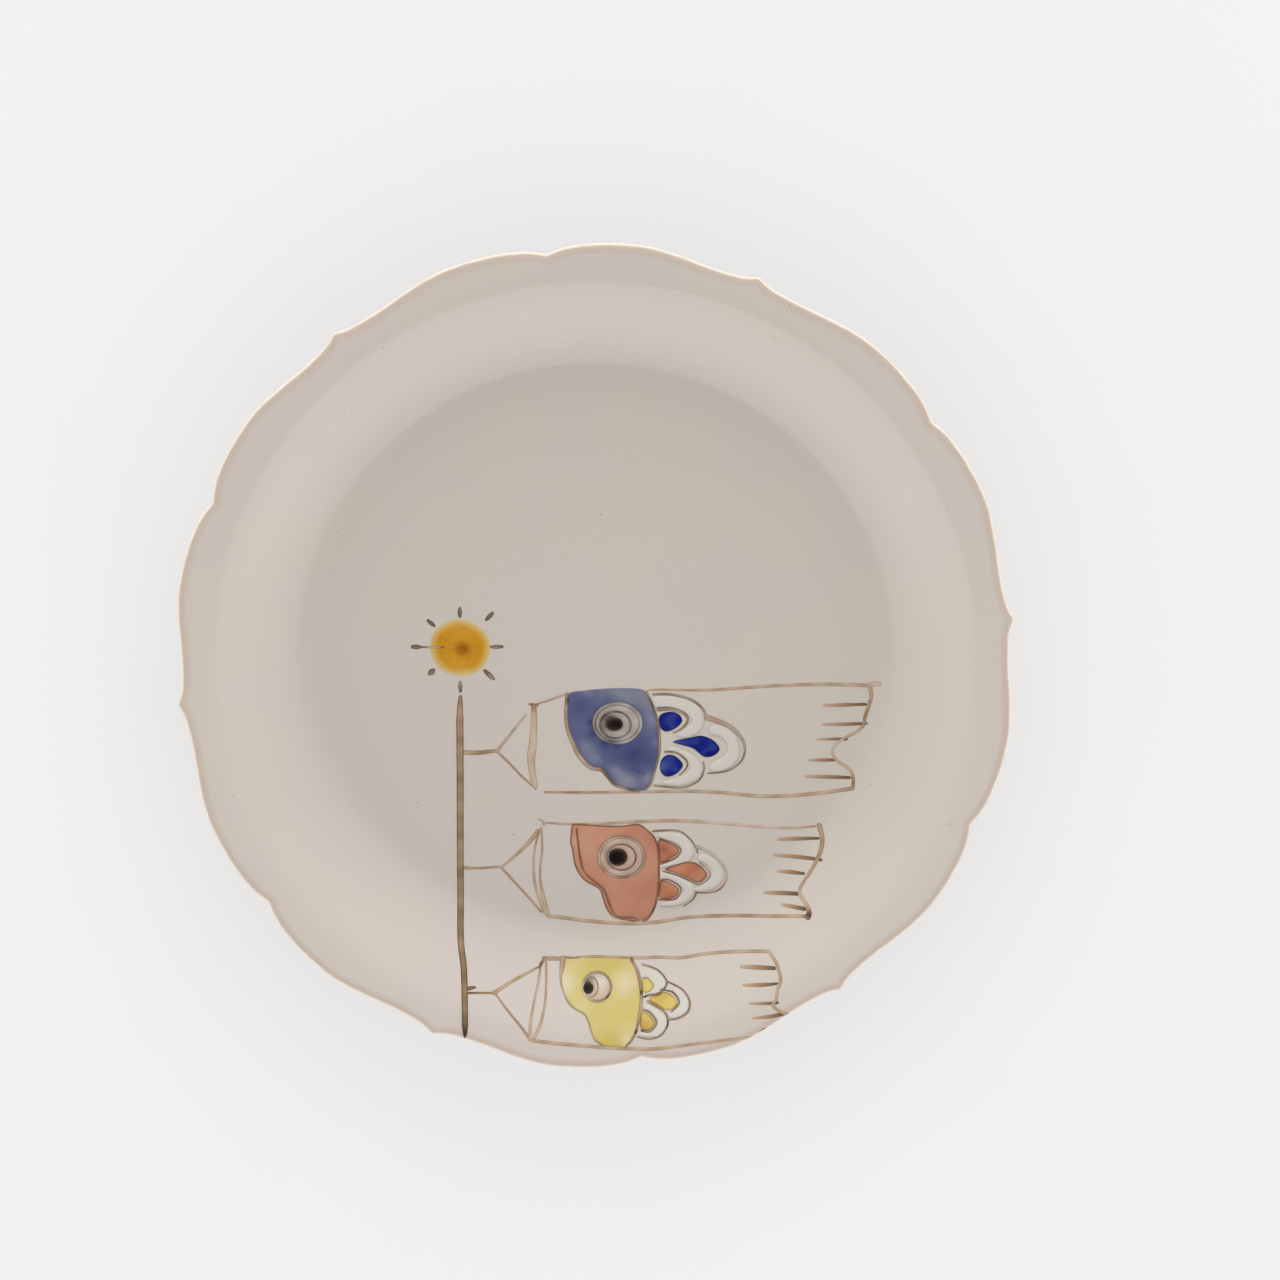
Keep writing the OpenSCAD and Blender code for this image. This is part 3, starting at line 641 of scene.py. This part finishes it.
SCALES = {
    "blue": (
        (rgb(70, 88, 146), rgb(5, 24, 118), rgb(5, 12, 66)),
        (rgb(130, 138, 166), rgb(70, 90, 150), rgb(24, 42, 116)),
    ),
    "red": (
        (rgb(188, 142, 120), rgb(174, 113, 85), rgb(98, 54, 38)),
        (rgb(192, 148, 120), rgb(184, 125, 93), rgb(132, 80, 56)),
    ),
    "yellow": (
        (rgb(203, 190, 138), rgb(196, 175, 90), rgb(150, 122, 62)),
        (rgb(192, 172, 120), rgb(184, 152, 76), rgb(122, 88, 44)),
    ),
}
EYES = {
    "blue": ((rgb(160, 150, 144), rgb(124, 110, 99), rgb(56, 44, 34)), (rgb(166, 159, 152),) * 3),
    "red": ((rgb(182, 158, 144), rgb(134, 112, 100), rgb(58, 46, 40)), (rgb(185, 162, 147),) * 3),
    "yellow": ((rgb(190, 170, 148), rgb(142, 120, 100), rgb(80, 62, 50)), (rgb(205, 197, 186),) * 3),
}
RINGS = {
    "blue": (rgb(160, 154, 148), rgb(106, 100, 96), rgb(46, 44, 48)),
    "red": (rgb(184, 164, 146), rgb(126, 100, 82), rgb(74, 50, 38)),
    "yellow": (rgb(182, 168, 148), rgb(136, 120, 98), rgb(78, 68, 52)),
}
PUPIL = (rgb(110, 94, 80), rgb(60, 46, 36), rgb(12, 9, 7))
WHITE = (rgb(189, 183, 175), rgb(195, 190, 182), rgb(199, 194, 187))
# The pole's ochre and its redder stretches
POLE = (
    (rgb(168, 149, 124), rgb(130, 107, 77), rgb(62, 48, 32)),
    (rgb(174, 148, 128), rgb(143, 111, 87), rgb(76, 54, 38)),
)
SUN = (rgb(196, 168, 100), rgb(191, 137, 30), rgb(142, 80, 4))
RAYS = (rgb(170, 152, 130), rgb(118, 98, 77), rgb(60, 44, 32))

# Pools of pigment and of the second tone, from the middle of each carp's pupil
HEAD_POOLS = {
    "blue": [
        (5.5, -8.4, 4.5, 0.3), (-7.6, -5.5, 2, -0.12), (-4.8, -8.8, 2.2, -0.16), (-0.7, -8, 3, 0.12),
        (0.5, -12, 2.4, -0.15), (4, -15, 2.8, -0.14), (8.6, -14, 2, -0.1), (6.2, -12.2, 0.45, 0.25),
        (7.3, -12.9, 0.35, 0.3), (4.9, -11.7, 0.45, 0.2), (-5.4, -2.4, 1.5, 0.3), (-2.6, -4.8, 1.3, 0.3),
        (-5.9, 0.6, 1.2, 0.3), (0.8, -5.1, 1.3, 0.25), (-4.4, 3.5, 1, 0.25), (3.6, -4, 1, 0.2),
        (-8.5, 4.5, 3, 0.14), (-3, -3, 5, 0.06), (10, 1, 1.8, -0.08), (10.3, -5, 1.2, -0.1),
    ],
    "red": [
        (8.5, -8.6, 3.2, 0.14), (9, 5, 3, 0.14), (4, 7.5, 3, 0.08), (6.4, -15.4, 2.2, 0.1),
        (3, -10, 4, 0.04), (-11.4, 4, 1.4, -0.2),
    ],
    "yellow": [(5, 5.5, 4, 0.12), (6, -12.3, 2.8, 0.25), (9.8, -12, 1.5, -0.4), (-3, 6.2, 2, -0.08)],
}
HEAD_TINTS = {
    "blue": [
        (-7, 8.6, 1.6, 0.5), (-3, 8.8, 2, 0.5), (1, 8.6, 2.4, 0.6), (5, 8, 3, 0.6), (9, 6, 3, 0.7),
        (10, 1, 2, 0.5), (2.5, -14.8, 2.4, 0.4), (8.5, -14.2, 1.6, 0.4),
    ],
    "red": [(-8.5, 3, 4, 0.6), (-4, 6, 4, 0.3)],
    "yellow": [(-6, 1, 3.2, 0.95), (9.5, 1.3, 3.2, 0.7), (-2, -4.6, 2, 0.4), (11, -9, 2.5, 0.3)],
}
SCALE_POOLS = {
    "blue": [(24.2, -8.2, 0.8, 0.5), (13.2, -1.4, 0.7, 0.25), (14.5, -4.8, 1.5, -0.25)],
    "red": [(22, -6.7, 0.9, 0.3), (12, 2.5, 1, 0.1)],
    "yellow": [(14.7, 1.3, 1.8, -0.14)],
}
SCALE_TINTS = {
    "blue": [(14.2, -4.8, 2.3, 1.0), (11.6, -11, 1.7, 1.0), (20.5, -4.3, 1.2, 0.3)],
    "red": [(16, -4.5, 3, 0.8), (12, -8.5, 2, 0.6)],
    "yellow": [(14.8, -8, 2.5, 0.95)],
}
LINE_POOLS = {
    "blue": [
        (64.7, 6.1, 0.5, 0.3), (64, 3, 2.6, 0.2), (60.6, -15, 2, 0.25),
        (-34, -8, 4, 0.2), (-10, -18.2, 7, 0.15), (56.2, -6.2, 4, -0.15), (-21, 4.6, 1.4, 0.35),
        (-19.6, 4.6, 1.5, 0.2), (-24, 0, 4, -0.12), (66.5, 10.6, 1.2, -0.1),
    ],
    "red": [
        (48.6, -13, 1.3, 0.6), (52, 4, 4, 0.25), (38.4, 9, 7, -0.26), (26, 9.5, 6, -0.24),
        (-37, -4, 4, 0.1), (31, -18.7, 10, 0.14),
    ],
    "yellow": [
        (52, -5, 1.4, 0.6), (-12.2, 5.6, 1, 0.5), (-9, 6.8, 2, 0.2), (-28.8, 1, 1.2, 0.2),
        (-30, -0.5, 4, 0.35),
    ],
}
HEAD_LINE_POOLS = {
    "blue": [
        (-11.6, 6.2, 1.1, 0.5), (-2.4, -11, 0.8, 0.35), (4.4, -16.2, 1.2, 0.4), (11, -12.3, 0.5, 0.5),
        (-0.5, -13.2, 3, 0.22),
        (24.2, -12.4, 0.9, 0.3), (9.3, 5, 2, 0.3), (14.5, -5.4, 1.1, 0.4),
    ],
    "red": [
        (8.4, -12, 1.5, 0.3), (9, -13.5, 1.5, 0.2), (-9.6, 4, 2, 0.1), (11, -9.8, 0.8, 0.4),
        (27, -3, 5, -0.34), (23, 4, 4, -0.18),
    ],
    "yellow": [
        (12.3, -9.7, 0.45, 1.0), (13.6, -0.8, 0.4, 0.8), (14.5, -1.7, 0.6, 0.5), (20.3, -7.8, 0.7, 1.0),
        (19.2, -5.8, 0.5, 0.8), (11.2, 6.6, 1, 0.3), (13.6, -9.6, 0.4, 0.8), (-6, -3, 5, -0.2),
        (0, -12, 4.5, -0.2), (17, 0, 4, 0.12), (22, -1, 4, 0.2), (17, -9, 3, 0.15),
    ],
}
HEAD_LINE_TINTS = {
    "blue": [
        (-12, 0, 4, 0.8), (-9, -8, 4, 0.8), (-4.2, -11.4, 1.4, 0.9), (24.8, 1, 2, 1.0), (28, 2, 3, 0.6),
    ],
    "red": [(-12, 2, 1.6, 0.9), (-10, -8, 3, 0.4), (16, 6.5, 4, 1.0), (24, 0, 6, 0.9), (20, -8, 4, 0.8)],
    "yellow": [(-7, 5, 2.5, 1.0), (11, 4, 3, 1.0), (12, -6, 4, 1.0), (19, 0, 7, 0.6)],
}
EYE_POOLS = {
    "blue": [(-0.4, 0.6, 2.1, 0.85), (-1.6, 1.4, 1.5, 0.3), (-2.9, -0.8, 1, 0.2)],
    "red": [(0, 0, 2.6, 0.5), (-0.3, 0.9, 2.4, 0.1)],
    "yellow": [(-0.7, 1.3, 2.1, 0.55), (0.2, 0.3, 1.5, 0.3), (1.5, 2.8, 1.8, 0.35)],
}
RING_POOLS = {
    "blue": [(-5, -2, 2.2, 0.2), (-1, -4.8, 2.2, 0.25), (-2.6, 1.8, 1.3, 0.5), (1, 3.4, 1.2, 0.4)],
    "red": [(1, -5, 2, 0.1), (4.6, -0.6, 0.5, 0.5), (1.4, -3.2, 0.8, 0.3), (-3, 2, 2, -0.12)],
    "yellow": [(5.2, -2, 0.7, 0.7), (-0.4, 2.8, 1.5, 0.1), (-2, -0.6, 2.2, -0.4), (1.5, -2.8, 1.5, -0.1)],
}


def make_pole_and_sun(profile):
    def pole_paint(points, far):
        y = points[:, 1]
        red = np.clip((y + 27) / 8, 0, 1) + 0.45 * np.exp(-(((y + 79) / 6) ** 2))
        tip = 0.35 * np.clip((-93 - y) / 2, 0, 1)
        grain = 0.1 * np.sin(0.9 * y) * np.sin(0.37 * y + 1)
        low = 0.14 * np.clip((-55 - y) / 25, 0, 1)
        return 0.5 + grain + low + tip + 0.4 * np.exp(-((far / 0.2) ** 2)), red

    def sun_paint(points, far):
        away = np.hypot(*(points - middle).T)
        angle = np.arctan2(*(points - middle).T[::-1])
        edge = sun_radius + 0.25 + 0.12 * np.sin(2 * angle + 2.6) + 0.1 * np.sin(5 * angle)
        wash = 0.64 * np.clip((edge - away) / 2.4, 0, 1) ** 0.75
        core = np.exp(-((np.hypot(*(points - core_middle).T) / 1.9) ** 3))
        sides = 0.05 * np.sin(2 * angle + 1.9) * np.clip(away / 4, 0, 1)
        return wash + 0.32 * core + sides, np.zeros(len(points))

    def sun_shape(points, far):
        return 0.1 + 0.9 * (1 - np.clip(np.hypot(*(points - middle).T) / sun_radius, 0, 1) ** 2)

    pole = enamel_material("pole_brown", *POLE)
    make_coat(profile, "pole", pole, "pole_wash", WASH_T, pole_paint)
    middle = middle_of("sun_disc")
    core_middle = middle_of("sun_core")
    sun_radius = (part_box("sun_disc")[1].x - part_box("sun_disc")[0].x) / 2 / MM
    gold = enamel_material("sun_gold", SUN, grain=0.3)
    make_coat(profile, "sun_disc", gold, "sun_wash", WASH_T, sun_paint, sun_shape)
    make_coat(profile, "sun_core", gold, "sun_core_wash", WASH_T, sun_paint, sun_shape)
    rays = enamel_material("ray_grey", RAYS)
    fade = [(-7.2, 0.1, 2.2, -0.35), (-4.6, 0.1, 1.5, -0.2), (0, -8.9, 0.8, -0.2), (9, -9, 1.4, -0.15)]
    ray_paint = painted(0.55, 0.35, 0.2, middle=middle, pools=fade)
    make_coat(profile, "sun_rays", rays, "grey_line", LINE_T, ray_paint)


def make_carp(profile, colour):
    eye = middle_of(colour + "_pupil")
    lines = enamel_material(colour + "_line", OCHRE, PINK_BROWN)
    head_lines = enamel_material(colour + "_head_line", *HEAD_LINES[colour])

    def coat(part, material, slot, thickness, *amounts, **more):
        paint = painted(*amounts, middle=eye, **more)
        make_coat(profile, colour + part, material, slot, thickness, paint)

    pools = LINE_POOLS[colour]
    coat("_bridle", lines, "brown_line", LINE_T, 0.4, 0.22, 0.2, 0.35, 0.4, pools=pools)
    coat("_mouth_hoop", lines, "brown_line", LINE_T, 0.3, 0.28, 0.2, 0.45, 0.4, pools=pools)
    coat("_body_outline", lines, "brown_line", LINE_T, 0.36, 0.22, 0.2, 0.35, 0.5, pools=pools)
    make_slits(profile, colour, lines)
    head_pools = HEAD_LINE_POOLS[colour]
    head_tints = HEAD_LINE_TINTS[colour]
    coat("_head_outline", head_lines, "grey_line", LINE_T, 0.42, 0.26, 0.22, 0.0, 0.2,
         pools=head_pools, tints=head_tints)
    coat("_scale_outlines", head_lines, "grey_line", LINE_T, 0.42, 0.22, 0.2, 0.0, 0.2,
         pools=head_pools, tints=head_tints)
    wash = enamel_material(colour + "_head_wash", *HEADS[colour])
    coat("_head", wash, colour + "_head_wash", WASH_T, 0.6, 0.05, 0.5, 0.0, 0.08,
         pools=HEAD_POOLS[colour], tints=HEAD_TINTS[colour], sway=0.025)
    scale = enamel_material(colour + "_scale_wash", *SCALES[colour])
    coat("_scales", scale, colour + "_scale_wash", WASH_T, 0.62, 0.35, 0.3,
         pools=SCALE_POOLS[colour], tints=SCALE_TINTS[colour])
    ring = enamel_material(colour + "_eye_ring", RINGS[colour])
    coat("_eye_rings", ring, "grey_line", LINE_T, 0.34, 0.4, 0.16, pools=RING_POOLS[colour])
    white = enamel_material(colour + "_eye_wash", *EYES[colour])
    coat("_eye_white", white, "eye_wash", WASH_T, 0.26, 0.05, 0.4,
         pools=EYE_POOLS[colour], tints=[(3, 1.5, 2, 0.8), (0.5, 4.5, 2, 0.5)])
    black = enamel_material(colour + "_pupil_black", PUPIL, roughness=0.1)
    coat("_pupil", black, "black_enamel", WASH_T, 1.0, -0.4, 0.5)
    relief = enamel_material(colour + "_relief", WHITE, roughness=0.1, grain=0.06)
    coat("_scale_borders", relief, "white_enamel", RELIEF_T, 0.85, -0.3, 0.28)


def make_slits(profile, colour, material):
    """The tail's slits: dark where the brush set down at the right, and gone at the left."""
    def paint(points, far):
        x, y = points.T
        same = np.abs(y[:, None] - y) < 0.9
        right = np.where(same, x, -1e3).max(1)
        left = np.where(same, x, 1e3).min(1)
        across = np.clip((x - left) / np.maximum(right - left - 0.6, 0.5), 0, 1)
        return 0.34 + 0.56 * across + 0.15 * np.exp(-far / 0.15) * across, 0.6 - 0.5 * across

    make_coat(profile, colour + "_tail_slits", material, "brown_line", LINE_T, paint)


# ---- Floor, light and backdrop ----
FLOOR_REACH = 6000
FLOOR_GLOW = 0.47
# The sky's strength overhead and at the horizon, and what is added below a low height
ZENITH = 0.65
HORIZON = 1.52
LOW_GLOW = 1.25
LOW_FROM = 0.27
LOW_FULL = 0.18
# The room in the glaze's reflections: its strength away from the key light, towards it and at the
# table, then the table's height and where it has faded out, as shares of the dome's radius
DOME_RADIUS = 3000
DOME_DARK = 0.12
DOME_KEY = 0.45
DOME_TABLE = 2.0
TABLE_TOP = 0.74
TABLE_FADE = 0.2
# The key light's place, its width and height in metres, and its power in watts
KEY_PLACE = (180, 3270, 1500)
KEY_SIZE = (4.2, 1.8)
KEY_POWER = 45.0


def make_floor():
    """A pale floor that glows a little, so that the plate's shadow on it stays faint."""
    m = Nodes("pale_floor", 0.8)
    m.colour(m.mix(m.noise(60, 3), rgb(162, 162, 161), rgb(165, 165, 165)))
    m.shader.inputs["Emission Color"].default_value = (1.0, 1.0, 1.0, 1.0)
    m.shader.inputs["Emission Strength"].default_value = FLOOR_GLOW
    mesh = bpy.data.meshes.new("floor")
    reach = FLOOR_REACH * MM
    corners = [(-reach, -reach, 0), (reach, -reach, 0), (reach, reach, 0), (-reach, reach, 0)]
    mesh.from_pydata(corners, [], [(0, 1, 2, 3)])
    mesh.materials.append(m.material)
    floor = bpy.data.objects.new("floor", mesh)
    bpy.context.scene.collection.objects.link(floor)


def make_world():
    """Even light that is strongest low down all round, and weaker overhead."""
    world = bpy.data.worlds.new("studio")
    world.use_nodes = True
    tree = world.node_tree
    place = tree.nodes.new("ShaderNodeTexCoord")
    axes = tree.nodes.new("ShaderNodeSeparateXYZ")
    tree.links.new(place.outputs["Generated"], axes.inputs[0])
    height = tree.nodes.new("ShaderNodeMapRange")
    height.inputs["To Min"].default_value = HORIZON
    height.inputs["To Max"].default_value = ZENITH
    tree.links.new(axes.outputs["Z"], height.inputs["Value"])
    low = tree.nodes.new("ShaderNodeMapRange")
    low.inputs["From Min"].default_value = LOW_FROM
    low.inputs["From Max"].default_value = LOW_FULL
    low.inputs["To Max"].default_value = LOW_GLOW
    tree.links.new(axes.outputs["Z"], low.inputs["Value"])
    total = tree.nodes.new("ShaderNodeMath")
    tree.links.new(height.outputs["Result"], total.inputs[0])
    tree.links.new(low.outputs["Result"], total.inputs[1])
    background = tree.nodes["Background"]
    background.inputs["Color"].default_value = (1.0, 0.985, 0.968, 1.0)
    tree.links.new(total.outputs[0], background.inputs["Strength"])
    bpy.context.scene.world = world


def make_reflections():
    """A dome that only the glaze's gloss sees: a dark room, a bright table edge and the window side."""
    m = Nodes("room", 1.0)
    axes = m.tree.nodes.new("ShaderNodeSeparateXYZ")
    m.link(m.place, axes.inputs[0])
    height = m.math("DIVIDE", axes.outputs["Z"], DOME_RADIUS * MM)
    toward_key = m.math("DIVIDE", axes.outputs["Y"], DOME_RADIUS * MM)
    room = m.between(toward_key, -0.3, 0.6)
    room = m.math("ADD", m.math("MULTIPLY", room, DOME_KEY - DOME_DARK), DOME_DARK)
    edge = m.between(height, TABLE_TOP + 0.01, TABLE_TOP - 0.01)
    fade = m.between(height, TABLE_TOP, TABLE_FADE)
    table = m.math("MULTIPLY", m.math("ADD", edge, fade), 0.5)
    table = m.math("MULTIPLY", table, m.between(toward_key, 0.2, -0.6))
    extra = m.math("MULTIPLY", m.math("SUBTRACT", DOME_TABLE, room), table)
    m.tree.nodes.remove(m.shader)
    glow = m.tree.nodes.new("ShaderNodeEmission")
    m.link(m.math("ADD", room, extra), glow.inputs["Strength"])
    m.link(glow.outputs[0], m.tree.nodes["Material Output"].inputs["Surface"])
    mesh = bpy.data.meshes.new("room")
    bm = bmesh.new()
    bmesh.ops.create_uvsphere(bm, u_segments=96, v_segments=48, radius=DOME_RADIUS * MM)
    bm.to_mesh(mesh)
    bm.free()
    mesh.materials.append(m.material)
    dome = bpy.data.objects.new("room", mesh)
    bpy.context.scene.collection.objects.link(dome)
    dome.visible_camera = False
    dome.visible_diffuse = False
    dome.visible_shadow = False
    dome.visible_transmission = False


def make_key_light():
    """A wide, low light from +Y."""
    data = bpy.data.lights.new("key", "AREA")
    data.shape = "RECTANGLE"
    data.size, data.size_y = KEY_SIZE
    data.energy = KEY_POWER
    light = bpy.data.objects.new("key", data)
    light.location = Vector(KEY_PLACE) * MM
    light.rotation_euler = (-light.location).to_track_quat("-Z", "Y").to_euler()
    light.visible_camera = False
    light.visible_glossy = False
    bpy.context.scene.collection.objects.link(light)


# ---- Everything ----
bpy.context.scene.view_settings.view_transform = "Standard"
make_camera()
make_world()
make_reflections()
make_key_light()
make_floor()
plate_profile = Profile(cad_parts["porcelain_plate"])
make_plate(plate_profile)
make_pole_and_sun(plate_profile)
for carp in CARP:
    make_carp(plate_profile, carp)
